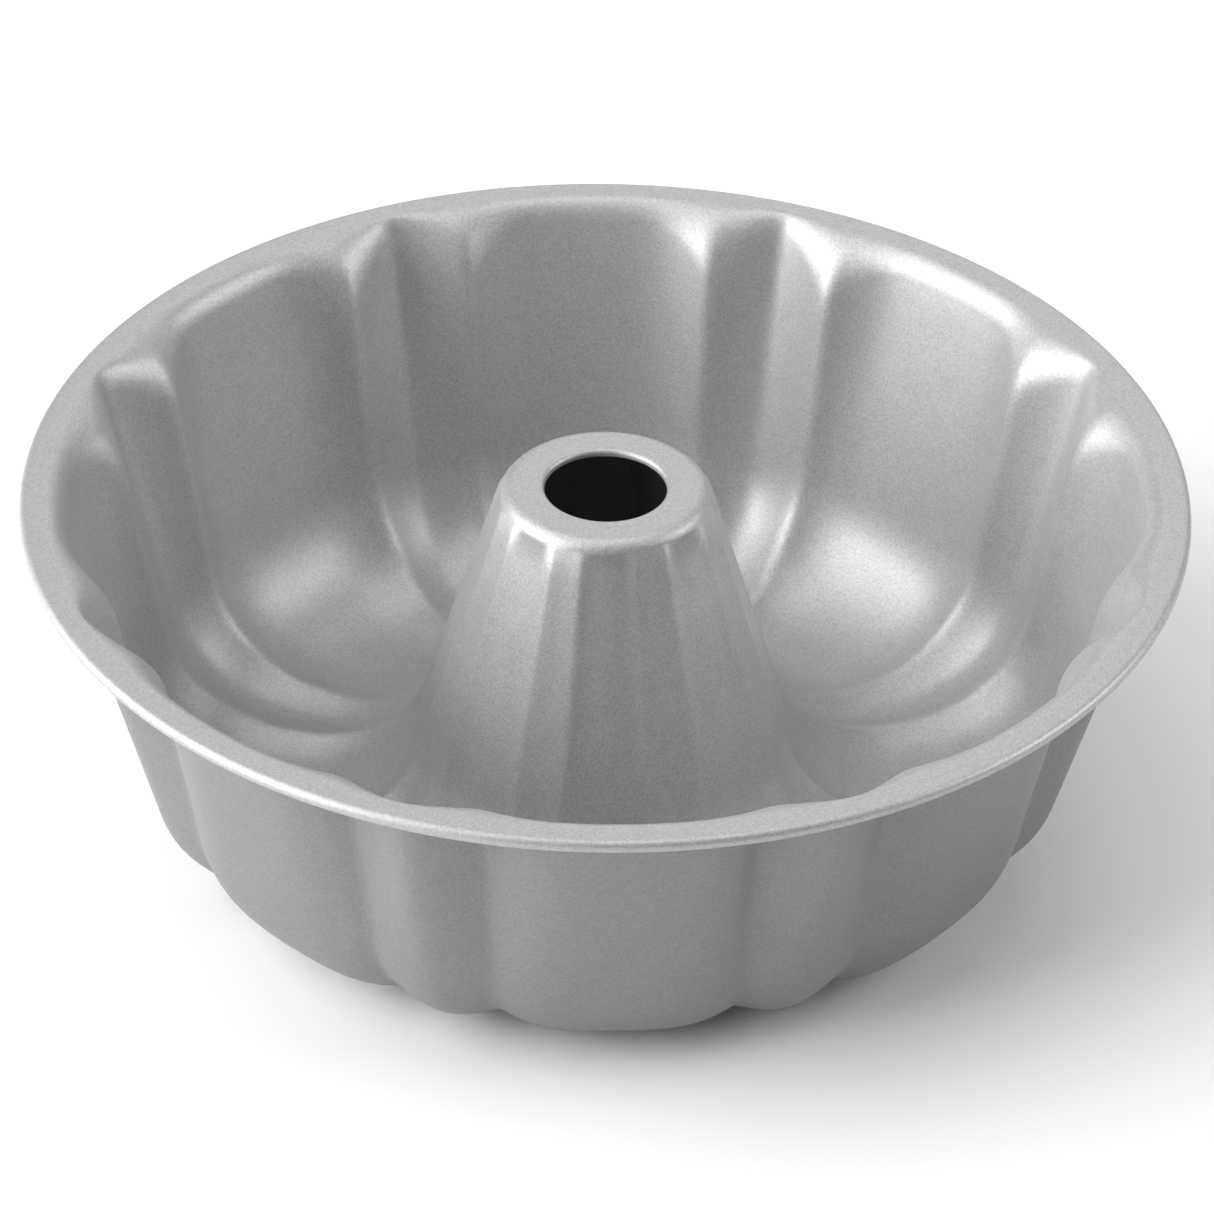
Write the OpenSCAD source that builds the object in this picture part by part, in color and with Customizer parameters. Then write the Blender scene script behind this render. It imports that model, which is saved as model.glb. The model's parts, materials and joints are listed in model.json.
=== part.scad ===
// Fluted tube pan for ring-shaped cakes: one pressed sheet of steel, sprayed on both sides.
// The origin is on the table under the centre of the pan, and +Z points up.

/* [Overall size] */
// Diameter over the rolled rim
pan_d = 262; // [240:1:290]
// Height from the table to the top of the rim
pan_h = 86; // [82:0.5:92]
// Thickness of the steel sheet
sheet_t = 0.6; // [0.4:0.05:0.8]
// Thickness of each sprayed coat
coat_t = 0.04; // [0.02:0.01:0.08]

/* [Lobes and ribs] */
// Number of lobes, with one narrow rib between each two
lobe_count = 8; // [6:1:10]
// Distance from the edge of the rim to a lobe's wall, measured at the rim
ledge_w = 8.5; // [8:0.1:12]
// Radius of a lobe's wall at table height
lobe_base_r = 101; // [97:0.5:104]
// How far the ridge beside a lobe stands in at the rim
ridge_in_rim = 7.5; // [5:0.1:9]
// How far the ridge beside a lobe stands in at table height
ridge_in_base = 0.4; // [0.3:0.1:4]
// How far the middle of a rib reaches out past the lobes at the rim
rib_out_rim = 2; // [0:0.1:2.2]
// How far the middle of a rib reaches out past the lobes at table height
rib_out_base = 0.3; // [-0.6:0.1:1]
// Height of the ridges where they cross the floor
ridge_rise = 3.2; // [1.5:0.1:6]
// Height of the ribs where they cross the floor
rib_rise = 0.5; // [0.3:0.1:1.5]
// Width of the flattened strip that the pan stands on
foot_strip_w = 4; // [2:0.5:6]

/* [Cone] */
// Height of the cone's flat top
cone_h = 86; // [80:0.5:92]
// Radius of the cone, measured at the height of its flat top
cone_top_r = 22.9; // [22.4:0.1:24]
// Radius of the cone at table height
cone_base_r = 48.3; // [45:0.1:52]
// How far the flutes' ridges stand out from the cone at table height
cone_ridge = 1.4; // [0.5:0.1:3]
// How far the flutes' ridges would stand out at the height of the flat top
cone_top_ridge = 0.7; // [0.2:0.05:1]
// Radius of the flat ring on the cone's top
top_ring_r = 20.4; // [19:0.1:20.8]
// Radius of the rounded shoulder between the flat ring and the flutes
shoulder_r = 3.6; // [3:0.1:4]
// Diameter of the hole in the cone's top
hole_d = 27.6; // [24:0.1:29]

/* [Rim] */
// Diameter of the rolled bead at the edge
bead_d = 3; // [2.6:0.1:3.4]
// Width of the rim, from its edge to where it starts to bend down
rim_w = 5.6; // [4:0.1:5.8]
// Length of the bend down a lobe's wall
lobe_bend_drop = 5; // [3:0.1:7]
// Length of the bend down a ridge
ridge_bend_drop = 17; // [12:0.5:26]
// Length of the bend down a rib's tip
rib_bend_drop = 5.5; // [3:0.1:7]
// Diameter of the wire inside the bead
wire_d = 1.2; // [0.8:0.1:1.2]

/* [Hidden] */
$fn = 120;

skin_t = sheet_t + 2 * coat_t;
pitch = 360 / lobe_count;
half_pitch = pitch / 2;

// Where the ridge runs between a lobe's middle and the next rib's middle, as folded angles
ridge_a_rim = 0.66 * half_pitch;
ridge_a_base = 0.7 * half_pitch;
ridge_a_cone = 0.63 * half_pitch;
// Half the angle over which a lobe's floor stays level
level_a = 0.25 * half_pitch;
// How steeply a lobe's sides curve in, from 1, straight, upwards
lobe_power_rim = 2.2;
lobe_power_base = 2.4;
cone_power = 2;
// How round a rib's tip is, from 0, sharp, upwards
rib_round_rim = 0.25;
rib_round_base = 0.7;
cone_rib_round = 0.5;
// Height that a flute's groove keeps, as a share of its ridges' height
cone_groove = 0.6;
// How steeply the bend's length grows towards a ridge, and how evenly it changes at a rib's tip
bend_power = 2.5;
bend_round = 0.8;
// Share of a ridge's height over which its crest is rounded, on the wall and on the floor
crest_round = 0.35;
crest_round_base = 0.2;

lobe_rim_r = pan_d / 2 - ledge_w;
bead_r = bead_d / 2;
bead_x = pan_d / 2 - bead_r;
bead_z = pan_h - bead_r;
rim_inner_r = pan_d / 2 - rim_w;
under_rim_z = pan_h - skin_t;
under_top_z = cone_h - skin_t;
// The shoulder ends at the cone's slope, and the flutes start a little below it
cone_slope_a = atan((cone_base_r - cone_top_r) / cone_h);
facet_gap = 0.8;
facet_top_z = cone_h - shoulder_r * (1 - sin(cone_slope_a)) - facet_gap;
lip_r = 1;
lip_drop = 0.5;
hole_r = hole_d / 2;
lip_flat_w = 1.2;
lip_overlap = 1;
ring_inner_r = hole_r + lip_r + lip_flat_w;
lip_tab_r = ring_inner_r + lip_overlap;

// Steps along the sheet, in the order of the section
curl_steps = 6;
bend_steps = 4;
floor_steps = 5;
shoulder_steps = 3;
// Columns of points across one lobe and one rib, as shares of half a pitch
column_shares = [0, 0.25, 0.49, 0.67, 1, 1.33, 1.51, 1.75];
columns_per_lobe = len(column_shares);
columns = lobe_count * columns_per_lobe;
last_column = columns_per_lobe - 1;
share_steps = [for (i = [0:last_column]) (i == last_column ? 2 : column_shares[i + 1]) - column_shares[i]];
widest_step = max(share_steps) * half_pitch;

steel_grey = [0.72, 0.73, 0.74];
coat_grey = [0.60, 0.61, 0.62];
wire_grey = [0.50, 0.51, 0.52];

// Angle from the middle of the nearest lobe, half_pitch in the middle of a rib
function folded(a) = let (b = a % pitch) min(b, pitch - b);

// The smaller of two values, rounded off where they cross
function soft_min(a, b, k) =
    let (h = max(k - abs(a - b), 0) / k)
    min(a, b) - h * h * k / 4;

// How far the sheet stands in from a lobe: 0 on the lobe, crest on the ridge, tip on the rib
function fluting(u, ridge_a, power, crest, tip, tip_round, top_round = crest_round) =
    let (
        lobe_way = max(u - level_a, 0) / (ridge_a - level_a),
        rib_way = (half_pitch - u) / (half_pitch - ridge_a),
        rounded = sqrt(rib_way * rib_way + tip_round * tip_round) - tip_round,
        rib_rise_way = rounded / (sqrt(1 + tip_round * tip_round) - tip_round)
    )
    soft_min(crest * pow(lobe_way, power), tip + (crest - tip) * rib_rise_way, top_round * crest);

function wall_rim_r(u) =
    lobe_rim_r - fluting(u, ridge_a_rim, lobe_power_rim, ridge_in_rim, -rib_out_rim, rib_round_rim);

function wall_base_r(u) =
    lobe_base_r - fluting(u, ridge_a_base, lobe_power_base, ridge_in_base, -rib_out_base,
        rib_round_base, crest_round_base);

function floor_z(u) =
    fluting(u, ridge_a_base, lobe_power_base, ridge_rise, rib_rise, rib_round_base, crest_round_base);

function cone_flute(u, crest) =
    fluting(u, ridge_a_cone, cone_power, crest, cone_groove * crest, cone_rib_round);

// Length of the bend down the wall: long on a ridge, short on a lobe and at a rib's tip
function bend_drop(u) =
    lobe_bend_drop + fluting(u, ridge_a_rim, bend_power, ridge_bend_drop - lobe_bend_drop,
        rib_bend_drop - lobe_bend_drop, bend_round);

// Points of an arc in the section, as [radius, height]
function arc(x, z, r, from_a, to_a, steps) =
    [for (k = [0:steps]) let (a = from_a + (to_a - from_a) * k / steps) [x + r * cos(a), z + r * sin(a)]];

// Points of a bend from a level stretch down to a wall that leans out by lean_a, as [radius,
// height]. The corner is where the two would meet, reach is the bend's length along the level
// stretch and drop its length down the wall.
function bend(corner, reach, drop, lean_a, steps) =
    [for (k = [0:steps])
        let (a = 90 * k / steps, down = drop * (1 - cos(a)))
        [corner[0] + reach * (1 - sin(a)) - down * sin(lean_a), corner[1] - down * cos(lean_a)]];

// The outer skin's section at a folded angle, as [radius, height]: from the end of the curl
// over the rim, down the wall, over the floor and up the inside of the cone
function section(u) =
    let (
        wall_lean = (wall_rim_r(u) - wall_base_r(u)) / pan_h,
        wall_a = atan(wall_lean),
        cone_base = cone_base_r + cone_flute(u, cone_ridge),
        cone_top = cone_top_r + cone_flute(u, cone_top_ridge),
        cone_lean = (cone_base - cone_top) / cone_h,
        cone_a = atan(cone_lean),
        under_cone_base = cone_base - skin_t / cos(cone_a),
        bottom = floor_z(u),
        rim_corner = [wall_base_r(u) + wall_lean * under_rim_z, under_rim_z],
        facet_top_r = under_cone_base - cone_lean * facet_top_z,
        wall_foot_r = wall_base_r(u) + wall_lean * bottom,
        cone_foot = under_cone_base - cone_lean * bottom,
        wall_share = tan(45 - wall_a / 2),
        cone_share = tan(45 - cone_a / 2),
        bowl_r = (wall_foot_r - cone_foot - foot_strip_w) / (wall_share + cone_share),
        wall_arc_x = wall_foot_r - bowl_r * wall_share,
        cone_arc_x = cone_foot + bowl_r * cone_share
    )
    concat(
        arc(bead_x, bead_z, bead_r - skin_t, -180, 90, curl_steps),
        bend(rim_corner, rim_inner_r - rim_corner[0], bend_drop(u), wall_a, bend_steps),
        arc(wall_arc_x, bottom + bowl_r, bowl_r, -wall_a, -90, floor_steps),
        arc(cone_arc_x, bottom + bowl_r, bowl_r, -90, cone_a - 180, floor_steps),
        [[facet_top_r, facet_top_z]],
        arc(top_ring_r, cone_h - shoulder_r, shoulder_r - skin_t, cone_slope_a, 90, shoulder_steps),
        [[ring_inner_r, under_top_z]]
    );

rim_row = curl_steps;
foot_row = rim_row + 1 + bend_steps + 1 + floor_steps;
facet_top_row = foot_row + 1 + floor_steps + 1;
ring_row = facet_top_row + 1 + shoulder_steps;
rows = ring_row + 2;

function turned(p, a) = [p[0] * cos(a), p[0] * sin(a), p[1]];

function unit(v) = v / norm(v);

skin_angles = [for (lobe = [0:lobe_count - 1]) for (share = column_shares) lobe * pitch + share * half_pitch];
outer_skin = [for (a = skin_angles) [for (p = section(folded(a))) turned(p, a)]];

// The rim, the cone's top ring and the soles of the lobes are level
function is_level(i, j) =
    j == rim_row || j == rim_row + 1 || j >= ring_row
    || ((j == foot_row || j == foot_row + 1) && folded(skin_angles[i]) <= level_a + 0.01);

// Direction through the sheet, from the outer skin to the food side
function inward(i, j) =
    is_level(i, j)
    ? [0, 0, 1]
    : let (
        before = outer_skin[(i + columns - 1) % columns][j],
        after = outer_skin[(i + 1) % columns][j],
        upstream = outer_skin[i][max(j - 1, 0)],
        downstream = outer_skin[i][j + 1]
    )
    unit(cross(after - before, downstream - upstream));

inward_dirs = [for (i = [0:columns - 1]) [for (j = [0:rows - 1]) inward(i, j)]];

// A closed layer of the sheet between two depths, measured from the outer skin
module sheet_layer(from_d, to_d) {
    function layer_points(depth) =
        [for (i = [0:columns - 1]) for (j = [0:rows - 1]) outer_skin[i][j] + depth * inward_dirs[i][j]];
    function at(side, i, j) = (side * columns + i % columns) * rows + j;
    below = [
        for (i = [0:columns - 1]) for (j = [0:rows - 2])
        each [
            [at(0, i, j), at(0, i + 1, j + 1), at(0, i, j + 1)],
            [at(0, i, j), at(0, i + 1, j), at(0, i + 1, j + 1)]
        ]
    ];
    above = [
        for (i = [0:columns - 1]) for (j = [0:rows - 2])
        each [
            [at(1, i, j), at(1, i, j + 1), at(1, i + 1, j + 1)],
            [at(1, i, j), at(1, i + 1, j + 1), at(1, i + 1, j)]
        ]
    ];
    rim_edge = [
        for (i = [0:columns - 1])
        each [
            [at(0, i, 0), at(1, i + 1, 0), at(0, i + 1, 0)],
            [at(0, i, 0), at(1, i, 0), at(1, i + 1, 0)]
        ]
    ];
    hole_edge = [
        for (i = [0:columns - 1])
        each [
            [at(0, i, rows - 1), at(0, i + 1, rows - 1), at(1, i + 1, rows - 1)],
            [at(0, i, rows - 1), at(1, i + 1, rows - 1), at(1, i, rows - 1)]
        ]
    ];
    polyhedron(
        points = concat(layer_points(from_d), layer_points(to_d)),
        faces = concat(below, above, rim_edge, hole_edge),
        convexity = 8
    );
}

// The edge of the cone's top, turned down into the hole
module turned_lip() {
    lip_x = hole_r + lip_r;
    lip_z = cone_h - coat_t - lip_r;
    rotate_extrude() {
        translate([lip_x, lip_z])
            difference() {
                circle(r = lip_r, $fn = 48);
                circle(r = lip_r - sheet_t, $fn = 48);
                translate([0, -lip_r])
                    square([lip_r, 2 * lip_r]);
                translate([-lip_r, -lip_r])
                    square([lip_r, lip_r]);
            }
        translate([hole_r, lip_z - lip_drop])
            square([sheet_t, lip_drop]);
        translate([lip_x, lip_z + lip_r - sheet_t])
            square([lip_tab_r - lip_x, sheet_t]);
    }
}

module steel_shell() {
    color(steel_grey)
        union() {
            sheet_layer(coat_t, coat_t + sheet_t);
            turned_lip();
        }
}

// The curl is faceted, so the wire lies midway between its corners and its flats
module rim_wire() {
    wire_x = bead_x * (1 + cos(widest_step / 2)) / 2;
    color(wire_grey)
        rotate_extrude()
            translate([wire_x, bead_z])
                circle(d = wire_d, $fn = 32);
}

module inner_nonstick_coating() {
    color(coat_grey)
        sheet_layer(coat_t + sheet_t, skin_t);
}

module outer_coating() {
    color(coat_grey)
        sheet_layer(0, coat_t);
}

steel_shell();
rim_wire();
inner_nonstick_coating();
outer_coating();
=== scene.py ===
"""A fluted tube pan: one pressed steel sheet with a rolled rim and a grey metallic coat on both sides."""

import json
import math

import bpy
import numpy as np
from mathutils import Matrix, Vector


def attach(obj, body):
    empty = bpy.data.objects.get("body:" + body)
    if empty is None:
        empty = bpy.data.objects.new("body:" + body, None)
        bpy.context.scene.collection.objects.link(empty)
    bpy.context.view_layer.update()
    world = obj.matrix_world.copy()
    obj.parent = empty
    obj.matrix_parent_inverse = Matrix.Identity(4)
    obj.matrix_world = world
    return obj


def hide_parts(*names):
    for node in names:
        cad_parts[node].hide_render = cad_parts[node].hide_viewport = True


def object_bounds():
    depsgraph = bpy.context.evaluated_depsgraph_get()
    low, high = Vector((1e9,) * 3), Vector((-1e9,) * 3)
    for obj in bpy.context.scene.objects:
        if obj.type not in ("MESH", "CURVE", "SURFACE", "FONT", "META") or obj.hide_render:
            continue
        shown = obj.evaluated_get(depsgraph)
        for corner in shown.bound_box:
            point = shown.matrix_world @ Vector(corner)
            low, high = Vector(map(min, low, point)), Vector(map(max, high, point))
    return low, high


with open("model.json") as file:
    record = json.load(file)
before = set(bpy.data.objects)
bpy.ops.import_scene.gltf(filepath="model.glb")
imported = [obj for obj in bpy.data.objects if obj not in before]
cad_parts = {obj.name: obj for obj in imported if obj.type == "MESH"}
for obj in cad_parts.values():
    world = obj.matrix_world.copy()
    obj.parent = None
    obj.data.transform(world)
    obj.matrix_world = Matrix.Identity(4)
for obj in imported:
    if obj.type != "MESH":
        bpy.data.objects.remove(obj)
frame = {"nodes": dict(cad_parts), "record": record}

cad_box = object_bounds()
MM = 0.001

# Sizes that the frame gives, in metres
PAN_R = cad_box[1][0]
PAN_H = cad_box[1][2]
MOUTH = next(m for m in frame["record"]["mounts"] if m["name"] == "cone_mouth")
HOLE_R = MOUTH["dims"]["r_mm"] * MM

# Sizes of the sheet
SHEET_T = 0.6 * MM
COAT_T = 0.04 * MM
SKIN_T = SHEET_T + 2 * COAT_T

# Lobes and ribs, as in the CAD part
LOBE_COUNT = 8
HALF_PITCH = math.pi / LOBE_COUNT
LEDGE_W = 8.5 * MM
LOBE_RIM_R = PAN_R - LEDGE_W
LOBE_BASE_R = 101 * MM
RIDGE_IN_RIM = 7.5 * MM
RIDGE_IN_BASE = 0.4 * MM
RIB_OUT_RIM = 2 * MM
RIB_OUT_BASE = 0.3 * MM
RIDGE_RISE = 3.2 * MM
RIB_RISE = 0.5 * MM
FOOT_STRIP_W = 4 * MM
RIDGE_A_RIM = 0.66 * HALF_PITCH
RIDGE_A_BASE = 0.7 * HALF_PITCH
RIDGE_A_CONE = 0.63 * HALF_PITCH
LEVEL_A = 0.25 * HALF_PITCH
LOBE_POWER_RIM = 2.2
LOBE_POWER_BASE = 2.4
CONE_POWER = 2
CREST_ROUND = 0.35
CREST_ROUND_BASE = 0.2
RIB_ROUND_RIM = 0.25
RIB_ROUND_BASE = 0.7
RIB_ROUND_CONE = 0.5

# The cone
CONE_H = PAN_H
CONE_TOP_R = 22.9 * MM
CONE_BASE_R = 48.3 * MM
CONE_RIDGE = 1.4 * MM
CONE_TOP_RIDGE = 0.7 * MM
CONE_GROOVE = 0.6
RING_OUTER_R = 20.4 * MM
SHOULDER_R = 3.6 * MM
FACET_GAP = 0.8 * MM
CONE_SLOPE_A = math.atan((CONE_BASE_R - CONE_TOP_R) / CONE_H)
LIP_R = 1 * MM
LIP_DROP = 0.5 * MM

# The rim
BEAD_R = 1.5 * MM
RIM_INNER_R = 125.4 * MM
LOBE_BEND_DROP = 5 * MM
RIDGE_BEND_DROP = 17 * MM
RIB_BEND_DROP = 5.5 * MM
BEND_POWER = 2.5
BEND_ROUND = 0.8

# Steps along the section and across half a lobe
CURL_STEPS = 18
RIM_STEPS = 4
BEND_STEPS = 9
WALL_STEPS = 10
BOWL_STEPS = 15
FOOT_STEPS = 2
CONE_STEPS = 10
SHOULDER_STEPS = 8
RING_STEPS = 3
LIP_STEPS = 8
DROP_STEPS = 2
HALF_LOBE_STEPS = 20

# How much closer the columns lie on a ridge and at a rib's tip, and over what share of half a pitch
RIDGE_CROWDING = 1.6
RIDGE_SPREAD = 0.14
RIB_CROWDING = 3.5
RIB_SPREAD = 0.09


def soft_min(a, b, k):
    """The smaller of two values, rounded off where they cross."""
    h = np.maximum(k - np.abs(a - b), 0) / k
    return np.minimum(a, b) - h * h * k / 4


def fluting(u, ridge_a, power, crest, tip, tip_round, crest_round=CREST_ROUND):
    """How far the sheet stands in from a lobe: 0 on the lobe, crest on the ridge, tip on the rib."""
    lobe_way = np.maximum(u - LEVEL_A, 0) / (ridge_a - LEVEL_A)
    rib_way = (HALF_PITCH - u) / (HALF_PITCH - ridge_a)
    rounded = np.sqrt(rib_way**2 + tip_round**2) - tip_round
    rib_rise_way = rounded / (math.sqrt(1 + tip_round**2) - tip_round)
    return soft_min(crest * lobe_way**power, tip + (crest - tip) * rib_rise_way, crest_round * crest)


def arc(x, z, r, from_a, to_a, steps):
    """Points of an arc in the section, for every column at once: a list of (radius, height) arrays."""
    points = []
    for k in range(steps + 1):
        a = from_a + (to_a - from_a) * k / steps
        points.append((x + r * np.cos(a), z + r * np.sin(a)))
    return points


def bend(corner_x, corner_z, reach, drop, lean, steps):
    """Points of a bend from a level stretch down to a wall that leans out: reach is its length along the
    level stretch and drop its length down the wall."""
    points = []
    for k in range(steps + 1):
        t = math.pi / 2 * k / steps
        down = drop * (1 - math.cos(t))
        level = reach * (1 - math.sin(t))
        points.append((corner_x + level - down * np.sin(lean), corner_z - down * np.cos(lean)))
    return points


def between(start, end, steps):
    """The points inside a straight stretch, without its ends."""
    shares = [k / steps for k in range(1, steps)]
    return [tuple(s + (e - s) * t for s, e in zip(start, end)) for t in shares]


def section(u):
    """The under skin from the end of the rim's curl, over the rim, down the wall, over the floor, up the
    inside of the cone and over its top into the hole. u is a column's angle from the middle of its lobe."""
    flat = np.zeros_like(u)
    quarter = math.pi / 2
    base_shape = (RIB_ROUND_BASE, CREST_ROUND_BASE)
    in_base = fluting(u, RIDGE_A_BASE, LOBE_POWER_BASE, RIDGE_IN_BASE, -RIB_OUT_BASE, *base_shape)
    in_rim = fluting(u, RIDGE_A_RIM, LOBE_POWER_RIM, RIDGE_IN_RIM, -RIB_OUT_RIM, RIB_ROUND_RIM)
    wall_base = LOBE_BASE_R - in_base
    wall_rim = LOBE_RIM_R - in_rim
    wall_lean = (wall_rim - wall_base) / PAN_H
    wall_a = np.arctan(wall_lean)
    cone_flute = fluting(u, RIDGE_A_CONE, CONE_POWER, 1, CONE_GROOVE, RIB_ROUND_CONE)
    cone_base = CONE_BASE_R + CONE_RIDGE * cone_flute
    cone_top = CONE_TOP_R + CONE_TOP_RIDGE * cone_flute
    cone_lean = (cone_base - cone_top) / CONE_H
    cone_a = np.arctan(cone_lean)
    under_cone_base = cone_base - SKIN_T / np.cos(cone_a)
    bottom = fluting(u, RIDGE_A_BASE, LOBE_POWER_BASE, RIDGE_RISE, RIB_RISE, *base_shape)
    ridge_extra = RIDGE_BEND_DROP - LOBE_BEND_DROP
    rib_extra = RIB_BEND_DROP - LOBE_BEND_DROP
    bend_drop = LOBE_BEND_DROP + fluting(u, RIDGE_A_RIM, BEND_POWER, ridge_extra, rib_extra, BEND_ROUND)
    under_rim_z = PAN_H - SKIN_T
    rim_corner = wall_base + wall_lean * under_rim_z
    facet_top_z = CONE_H - SHOULDER_R * (1 - math.sin(CONE_SLOPE_A)) - FACET_GAP
    facet_top = (under_cone_base - cone_lean * facet_top_z, facet_top_z)
    wall_foot = wall_base + wall_lean * bottom
    cone_foot = under_cone_base - cone_lean * bottom
    wall_share = np.tan(quarter / 2 - wall_a / 2)
    cone_share = np.tan(quarter / 2 - cone_a / 2)
    bowl_r = (wall_foot - cone_foot - FOOT_STRIP_W) / (wall_share + cone_share)

    curl = arc(PAN_R - BEAD_R + flat, PAN_H - BEAD_R, BEAD_R - SKIN_T, -math.pi, quarter, CURL_STEPS)
    rim_bend = bend(rim_corner, under_rim_z, RIM_INNER_R - rim_corner, bend_drop, wall_a, BEND_STEPS)
    wall_arc = arc(wall_foot - bowl_r * wall_share, bottom + bowl_r, bowl_r, -wall_a, -quarter, BOWL_STEPS)
    cone_arc_x = cone_foot + bowl_r * cone_share
    cone_arc = arc(cone_arc_x, bottom + bowl_r, bowl_r, -quarter, cone_a - math.pi, BOWL_STEPS)
    shoulder_x, shoulder_z = RING_OUTER_R + flat, CONE_H - SHOULDER_R
    shoulder = arc(shoulder_x, shoulder_z, SHOULDER_R - SKIN_T, CONE_SLOPE_A, quarter, SHOULDER_STEPS)
    lip = arc(HOLE_R + LIP_R + flat, CONE_H - LIP_R, LIP_R - SKIN_T, quarter, math.pi, LIP_STEPS)
    lip_end = (lip[-1][0], lip[-1][1] - LIP_DROP)

    points = curl + between(curl[-1], rim_bend[0], RIM_STEPS)
    points += rim_bend + between(rim_bend[-1], wall_arc[0], WALL_STEPS)
    points += wall_arc + between(wall_arc[-1], cone_arc[0], FOOT_STEPS)
    points += cone_arc + between(cone_arc[-1], facet_top, CONE_STEPS) + [facet_top]
    points += shoulder + between(shoulder[-1], lip[0], RING_STEPS)
    points += lip + between(lip[-1], lip_end, DROP_STEPS) + [lip_end]
    return np.stack([np.stack([x + flat, z + flat], -1) for x, z in points], 1)


def column_angles():
    """Angles of the columns over a full turn, closest together on the ridges and at the ribs' tips."""
    share = np.linspace(0, 1, 401)
    on_ridge = np.exp(-(((share - RIDGE_A_RIM / HALF_PITCH) / RIDGE_SPREAD) ** 2))
    on_rib = np.exp(-(((1 - share) / RIB_SPREAD) ** 2))
    crowding = 1 + RIDGE_CROWDING * on_ridge + RIB_CROWDING * on_rib
    way = np.concatenate([[0], np.cumsum((crowding[1:] + crowding[:-1]) / 2)])
    half = np.interp(np.linspace(0, way[-1], HALF_LOBE_STEPS + 1), way, share) * HALF_PITCH
    lobe = np.concatenate([half[:-1], 2 * HALF_PITCH - half[:0:-1]])
    return np.concatenate([lobe + 2 * HALF_PITCH * k for k in range(LOBE_COUNT)])


def unit(v):
    """The same directions with length 1."""
    return v / np.linalg.norm(v, axis=-1, keepdims=True)


def make_skin():
    """Points of the under skin, the direction through the sheet at each, and the way along the section."""
    angles = column_angles()
    turn = angles % (2 * HALF_PITCH)
    outline = section(np.minimum(turn, 2 * HALF_PITCH - turn))
    r, z = outline[..., 0], outline[..., 1]
    skin = np.stack([r * np.cos(angles)[:, None], r * np.sin(angles)[:, None], z], -1)
    across = np.roll(skin, -1, 0) - np.roll(skin, 1, 0)
    upstream = np.concatenate([2 * skin[:, :1] - skin[:, 1:2], skin[:, :-1]], 1)
    downstream = np.concatenate([skin[:, 1:], 2 * skin[:, -1:] - skin[:, -2:-1]], 1)
    through = unit(np.cross(across, downstream - upstream))
    steps = np.linalg.norm(np.diff(outline, axis=1), axis=-1).mean(0)
    along = np.concatenate([[0], np.cumsum(steps)])
    return skin, through, along


SKIN, THROUGH, ALONG = make_skin()


def layer(name, from_depth, to_depth):
    """A closed layer of the sheet between two depths, measured from the under skin."""
    columns, rows = SKIN.shape[:2]
    points = np.concatenate([SKIN + THROUGH * from_depth, SKIN + THROUGH * to_depth]).reshape(-1, 3)
    ids = np.arange(2 * columns * rows).reshape(2, columns, rows)
    near, far = ids
    near_next, far_next = np.roll(near, -1, 0), np.roll(far, -1, 0)
    walls = [
        np.stack([near[:, :-1], near[:, 1:], near_next[:, 1:], near_next[:, :-1]], -1),
        np.stack([far[:, :-1], far_next[:, :-1], far_next[:, 1:], far[:, 1:]], -1),
        np.stack([near[:, 0], near_next[:, 0], far_next[:, 0], far[:, 0]], -1),
        np.stack([near[:, -1], far[:, -1], far_next[:, -1], near_next[:, -1]], -1),
    ]
    faces = np.concatenate([w.reshape(-1, 4) for w in walls])
    mesh = bpy.data.meshes.new(name)
    mesh.from_pydata(points.tolist(), [], faces.tolist())
    mesh.shade_smooth()
    mesh.set_sharp_from_angle(angle=math.radians(50))
    way = mesh.attributes.new("along", "FLOAT", "POINT")
    way.data.foreach_set("value", np.tile(ALONG, 2 * columns).astype(np.float32))
    piece = bpy.data.objects.new(name, mesh)
    bpy.context.collection.objects.link(piece)
    return piece


# Materials

FLAKE_SIZE = 0.28 * MM
FLAKE_RELIEF = 0.02 * MM
COAT_METALLIC = 0.5


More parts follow.
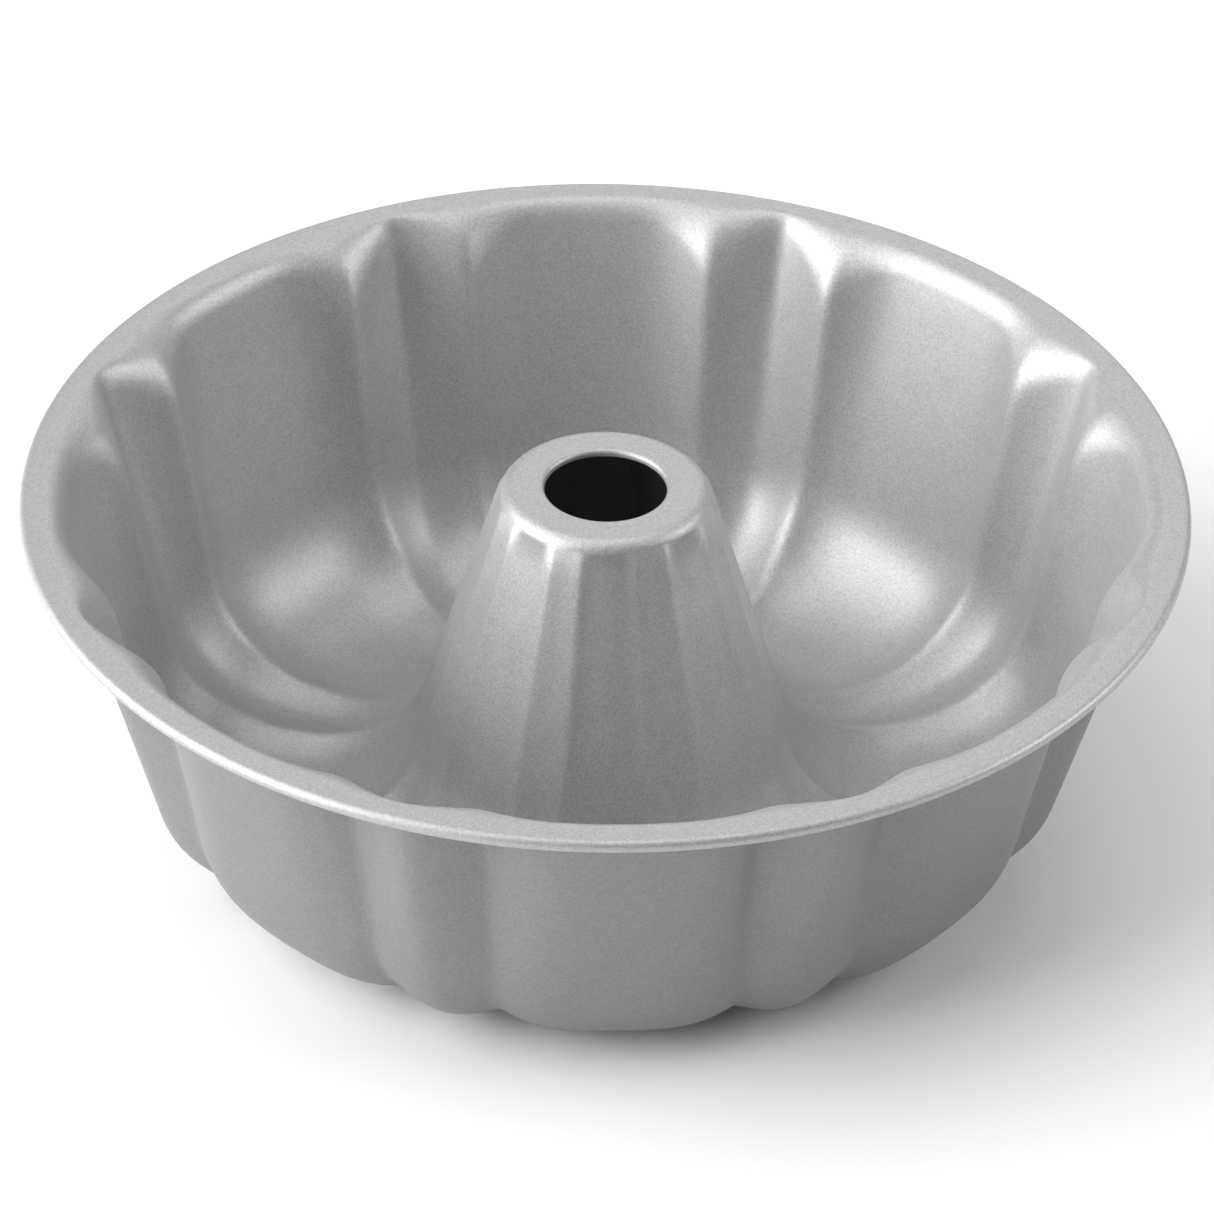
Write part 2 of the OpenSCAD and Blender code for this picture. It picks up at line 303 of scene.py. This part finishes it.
class Nodes:
    """A material's node tree, with its Principled shader."""

    def __init__(self, name):
        self.material = bpy.data.materials.new(name)
        self.material.use_nodes = True
        self.tree = self.material.node_tree
        self.shader = self.tree.nodes["Principled BSDF"]

    def add(self, kind, **settings):
        node = self.tree.nodes.new(kind)
        for key, value in settings.items():
            setattr(node, key, value)
        return node

    def link(self, out_socket, in_socket):
        self.tree.links.new(out_socket, in_socket)

    def place(self):
        """Points on the object, in metres."""
        return self.add("ShaderNodeTexCoord").outputs["Object"]

    def noise(self, vector, scale, detail=2.0, roughness=0.5):
        node = self.add("ShaderNodeTexNoise")
        node.inputs["Scale"].default_value = scale
        node.inputs["Detail"].default_value = detail
        node.inputs["Roughness"].default_value = roughness
        self.link(vector, node.inputs["Vector"])
        return node.outputs["Fac"]

    def line_noise(self, value, scale, detail=2.0):
        """Noise that changes only along one coordinate."""
        node = self.add("ShaderNodeTexNoise", noise_dimensions="1D")
        node.inputs["Scale"].default_value = scale
        node.inputs["Detail"].default_value = detail
        self.link(value, node.inputs["W"])
        return node.outputs["Fac"]

    def flakes(self, vector, size):
        """One random colour per flake of this size."""
        node = self.add("ShaderNodeTexVoronoi", feature="F1")
        node.inputs["Scale"].default_value = 1 / size
        self.link(vector, node.inputs["Vector"])
        return node.outputs["Color"]

    def attribute(self, name):
        return self.add("ShaderNodeAttribute", attribute_name=name).outputs["Fac"]

    def to_range(self, value, low, high, from_low=0.0, from_high=1.0):
        node = self.add("ShaderNodeMapRange")
        node.inputs["From Min"].default_value = from_low
        node.inputs["From Max"].default_value = from_high
        node.inputs["To Min"].default_value = low
        node.inputs["To Max"].default_value = high
        self.link(value, node.inputs["Value"])
        return node.outputs["Result"]

    def math(self, operation, a, b):
        node = self.add("ShaderNodeMath", operation=operation)
        for socket, value in zip(node.inputs, (a, b)):
            if isinstance(value, (int, float)):
                socket.default_value = value
            else:
                self.link(value, socket)
        return node.outputs["Value"]

    def ramp(self, value, dark, light):
        """A colour between two greys."""
        node = self.add("ShaderNodeValToRGB")
        node.color_ramp.elements[0].color = (*dark, 1)
        node.color_ramp.elements[1].color = (*light, 1)
        self.link(value, node.inputs["Fac"])
        return node.outputs["Color"]

    def bump(self, height, distance, strength, normal=None):
        node = self.add("ShaderNodeBump")
        node.inputs["Distance"].default_value = distance
        node.inputs["Strength"].default_value = strength
        self.link(height, node.inputs["Height"])
        if normal is not None:
            self.link(normal, node.inputs["Normal"])
        return node.outputs["Normal"]


def coat_material(name, dark, light, roughness):
    """Grey metallic coat: tiny flakes in a satin film, sprayed over faint lines from the press."""
    m = Nodes(name)
    m.shader.inputs["Metallic"].default_value = COAT_METALLIC
    place = m.place()
    flake = m.add("ShaderNodeSeparateColor")
    m.link(m.flakes(place, FLAKE_SIZE), flake.inputs["Color"])
    mottle = m.noise(place, 160, detail=3)
    grain = m.noise(place, 0.6 / FLAKE_SIZE, detail=3, roughness=0.7)
    lines = m.line_noise(m.attribute("along"), 900, detail=3)
    tone = m.math("MULTIPLY", flake.outputs["Red"], 0.45)
    tone = m.math("ADD", tone, m.math("MULTIPLY", grain, 0.35))
    tone = m.math("ADD", tone, m.math("MULTIPLY", mottle, 0.12))
    tone = m.math("ADD", tone, m.math("MULTIPLY", lines, 0.08))
    m.link(m.ramp(tone, dark, light), m.shader.inputs["Base Color"])
    gloss = m.math("ADD", m.math("MULTIPLY", flake.outputs["Green"], 0.6), m.math("MULTIPLY", mottle, 0.4))
    m.link(m.to_range(gloss, roughness - 0.06, roughness + 0.06), m.shader.inputs["Roughness"])
    fine = m.bump(flake.outputs["Blue"], FLAKE_RELIEF, 0.8)
    m.link(m.bump(lines, FLAKE_RELIEF, 0.3, fine), m.shader.inputs["Normal"])
    return m.material


def steel_material(name, grey, roughness, line_scale):
    """Bare steel with fine drawing lines along the sheet or wire."""
    m = Nodes(name)
    m.shader.inputs["Metallic"].default_value = 1
    place = m.place()
    lines = m.noise(place, line_scale, detail=4, roughness=0.7)
    darker = tuple(c * 0.8 for c in grey)
    m.link(m.ramp(lines, darker, grey), m.shader.inputs["Base Color"])
    m.link(m.to_range(lines, roughness - 0.08, roughness + 0.08), m.shader.inputs["Roughness"])
    m.link(m.bump(lines, 0.01 * MM, 0.4), m.shader.inputs["Normal"])
    return m.material


def floor_material():
    """Pale matt floor with a faint change of tone."""
    m = Nodes("pale_floor")
    m.shader.inputs["Roughness"].default_value = 0.9
    m.shader.inputs["Specular IOR Level"].default_value = 0.1
    tone = m.noise(m.place(), 3, detail=2)
    m.link(m.ramp(tone, (0.86, 0.86, 0.86), (0.88, 0.88, 0.88)), m.shader.inputs["Base Color"])
    return m.material


# The pieces


def make_pan():
    under = layer("outer_coat", 0, COAT_T)
    steel = layer("pressed_sheet", COAT_T, COAT_T + SHEET_T)
    inside = layer("food_side_coat", COAT_T + SHEET_T, SKIN_T)
    # The outer coat is the same finish as the food side, but its greys are set darker: painted shade
    # standing in for the dimmer light on the pan's outside.
    under.data.materials.append(coat_material("outer_coat_painted_shade_grey", (0.17,) * 3, (0.32,) * 3, 0.48))
    inside.data.materials.append(coat_material("food_side_grey", (0.28,) * 3, (0.57,) * 3, 0.46))
    steel.data.materials.append(steel_material("pressed_steel", (0.6, 0.6, 0.61), 0.35, 4000))
    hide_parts("outer_coating")
    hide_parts("steel_shell")
    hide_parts("inner_nonstick_coating")
    for piece in (under, steel, inside):
        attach(piece, "root")
    wire = frame["nodes"]["rim_wire"]
    wire.data.materials.clear()
    wire.data.materials.append(steel_material("drawn_wire", (0.5, 0.5, 0.51), 0.4, 2500))


# The studio: lengths in metres and angles in degrees, unless a name or a comment says otherwise

FLOOR_HALF = 3
LIGHT_DISTANCE = 1.6
WORLD_LIGHT = 0.05

# The camera's place, seen from the middle of the rim, and the way that it looks. The turn of the pan and
# the camera's roll are in radians.
PAN_TURN = math.radians(2.7)
CAMERA_ELEVATION = 34.235
CAMERA_DISTANCE = 1.2642
LOOK_AZIMUTH = 180.04
LOOK_ELEVATION = 35.474
CAMERA_ROLL = math.radians(-0.962)
SENSOR_MM = 36
LENS_MM = 167.28


def add_floor():
    mesh = bpy.data.meshes.new("floor")
    corners = [(x * FLOOR_HALF, y * FLOOR_HALF, 0) for x, y in ((-1, -1), (1, -1), (1, 1), (-1, 1))]
    mesh.from_pydata(corners, [], [(0, 1, 2, 3)])
    floor = bpy.data.objects.new("floor", mesh)
    floor.data.materials.append(floor_material())
    bpy.context.collection.objects.link(floor)


def direction(azimuth, elevation):
    """Unit vector towards a place in the studio. Azimuth 0 is behind the pan and 90 is to its right."""
    a, e = math.radians(azimuth) + PAN_TURN, math.radians(elevation)
    return Vector((math.sin(a) * math.cos(e), math.cos(a) * math.cos(e), math.sin(e)))


def add_camera():
    rim_centre = Vector((0, 0, PAN_H))
    place = rim_centre + direction(180, CAMERA_ELEVATION) * CAMERA_DISTANCE
    ahead = -direction(LOOK_AZIMUTH, LOOK_ELEVATION)
    side = ahead.cross(Vector((0, 0, 1))).normalized()
    upward = side.cross(ahead)
    right = side * math.cos(CAMERA_ROLL) - upward * math.sin(CAMERA_ROLL)
    top = upward * math.cos(CAMERA_ROLL) + side * math.sin(CAMERA_ROLL)
    data = bpy.data.cameras.new("camera")
    data.sensor_width = SENSOR_MM
    data.lens = LENS_MM
    data.clip_start = 0.1
    data.clip_end = 20
    camera = bpy.data.objects.new("camera", data)
    turn = Matrix((right, top, -ahead)).transposed()
    camera.matrix_world = Matrix.Translation(place) @ turn.to_4x4()
    bpy.context.collection.objects.link(camera)
    bpy.context.scene.camera = camera


def softbox(name, azimuth, elevation, width, height, watts):
    """A soft light that faces the pan."""
    data = bpy.data.lights.new(name, "AREA")
    data.shape = "RECTANGLE"
    data.size = width
    data.size_y = height
    data.energy = watts
    lamp = bpy.data.objects.new(name, data)
    towards = direction(azimuth, elevation)
    place = Matrix.Translation(Vector((0, 0, PAN_H)) + towards * LIGHT_DISTANCE)
    lamp.matrix_world = place @ towards.to_track_quat("Z", "Y").to_matrix().to_4x4()
    bpy.context.collection.objects.link(lamp)


def add_lights():
    softbox("left_key", -105, 16, 1.6, 0.9, 32)
    softbox("left_high", -100, 42, 1.8, 1.2, 23)
    softbox("right", 90, 27, 1.0, 1.0, 14)
    softbox("overhead", 0, 85, 1.6, 1.6, 13)
    softbox("back", 15, 27, 1.4, 0.8, 5)
    world = bpy.data.worlds.new("studio")
    world.use_nodes = True
    world.node_tree.nodes["Background"].inputs["Color"].default_value = (1, 1, 1, 1)
    world.node_tree.nodes["Background"].inputs["Strength"].default_value = WORLD_LIGHT
    bpy.context.scene.world = world


add_camera()
make_pan()
add_floor()
add_lights()
bpy.context.scene.view_settings.view_transform = "Standard"
